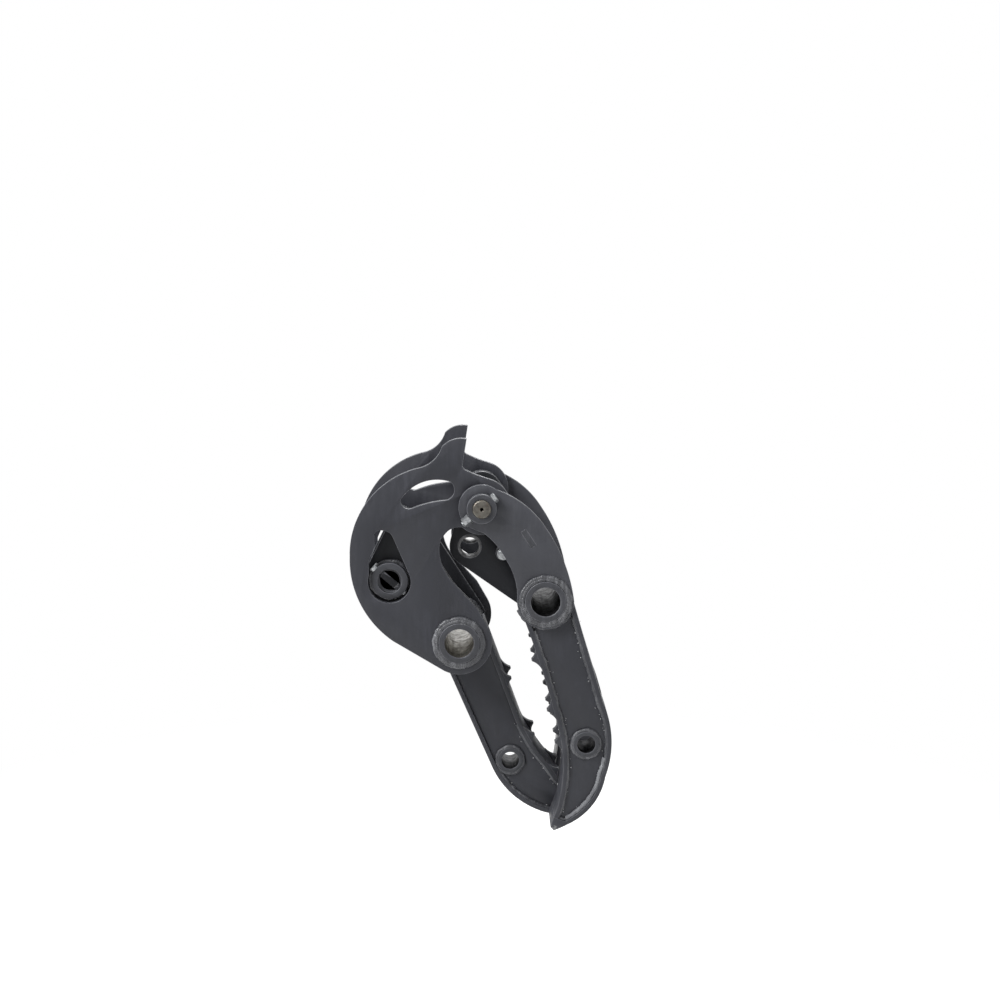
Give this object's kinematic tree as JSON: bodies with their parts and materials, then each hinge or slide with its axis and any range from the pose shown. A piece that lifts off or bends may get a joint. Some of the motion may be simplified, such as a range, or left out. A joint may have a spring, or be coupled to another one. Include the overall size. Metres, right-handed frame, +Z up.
{
  "type": "log grapple",
  "caption": "Log grapple for a small excavator: a single-tine jaw hinged inside a twin-tine jaw, both box-built with toothed grip faces.",
  "frame": {"origin": "on the axis of the arm pin, midway between the inner ears", "axes": "+X towards the twin tines, +Y along the arm pin from the near side to the far side, +Z up along the machine's arm"},
  "size_m": [0.5723, 0.347, 0.8827],
  "materials": {
    "painted_plate": "satin charcoal paint on cut plate",
    "painted_tube": "satin charcoal paint outside, bare turned bore",
    "painted_machined": "satin charcoal paint on turned and cut pieces",
    "worn_wear_part": "charcoal paint worn at the points",
    "pin_steel": "turned and blackened",
    "bush_steel": "ground",
    "bronze": "turned",
    "zinc_fastener": "bright zinc plate"
  },
  "bodies": {
    "arm_jaw": {"arm_jaw_inner_ear_far": "painted_plate", "arm_jaw_inner_ear_near": "painted_plate", "arm_jaw_main_tube": "painted_tube", "arm_jaw_outer_plate_far": "painted_plate", "arm_jaw_outer_plate_near": "painted_plate", "arm_pin_bush_far": "bush_steel", "arm_pin_bush_near": "bush_steel", "arm_tine_back_flange_far": "painted_plate", "arm_tine_back_flange_near": "painted_plate", "arm_tine_cross_tube_far": "painted_tube", "arm_tine_cross_tube_near": "painted_tube", "arm_tine_grip_flange_far": "painted_plate", "arm_tine_grip_flange_near": "painted_plate", "arm_tine_inner_web_far": "painted_plate", "arm_tine_inner_web_near": "painted_plate", "arm_tine_outer_web_far": "painted_plate", "arm_tine_outer_web_near": "painted_plate", "arm_tine_teeth_far": "worn_wear_part", "arm_tine_teeth_near": "worn_wear_part", "arm_tine_tip_far": "worn_wear_part", "arm_tine_tip_near": "worn_wear_part", "collar_bolt_far": "zinc_fastener", "collar_bolt_near": "zinc_fastener", "collar_nuts_far": "zinc_fastener", "collar_nuts_near": "zinc_fastener", "hinge_shim_far": "bush_steel", "hinge_shim_near": "bush_steel", "keeper_bolt_far": "zinc_fastener", "keeper_bolt_near": "zinc_fastener", "keeper_boss_far": "painted_machined", "keeper_boss_near": "painted_machined", "stop_block_far": "painted_machined", "stop_block_near": "painted_machined", "stub_pin_collar_far": "painted_machined", "stub_pin_collar_near": "painted_machined", "stub_pin_far": "pin_steel", "stub_pin_near": "pin_steel"},
    "cylinder_jaw": {"cylinder_ear_far": "painted_plate", "cylinder_ear_near": "painted_plate", "cylinder_jaw_disc_far": "painted_plate", "cylinder_jaw_disc_near": "painted_plate", "cylinder_jaw_main_tube": "painted_tube", "cylinder_pin_bolt_far": "zinc_fastener", "cylinder_pin_bolt_near": "zinc_fastener", "cylinder_pin_collar_far": "painted_machined", "cylinder_pin_collar_near": "painted_machined", "driven_tine_back_flange": "painted_plate", "driven_tine_cross_tube": "painted_tube", "driven_tine_grip_flange": "painted_plate", "driven_tine_teeth": "worn_wear_part", "driven_tine_tip": "worn_wear_part", "driven_tine_web_far": "painted_plate", "driven_tine_web_near": "painted_plate", "hinge_bush_far": "bronze", "hinge_bush_near": "bronze", "hinge_hub_far": "painted_machined", "hinge_hub_near": "painted_machined"}
  },
  "joints": [
    {"name": "jaw_hinge", "type": "hinge", "parent": "arm_jaw", "child": "cylinder_jaw", "pos_m": [0.027, 0, 0.096], "axis": [0, 1, 0], "range_deg": [0, 138]}
  ]
}
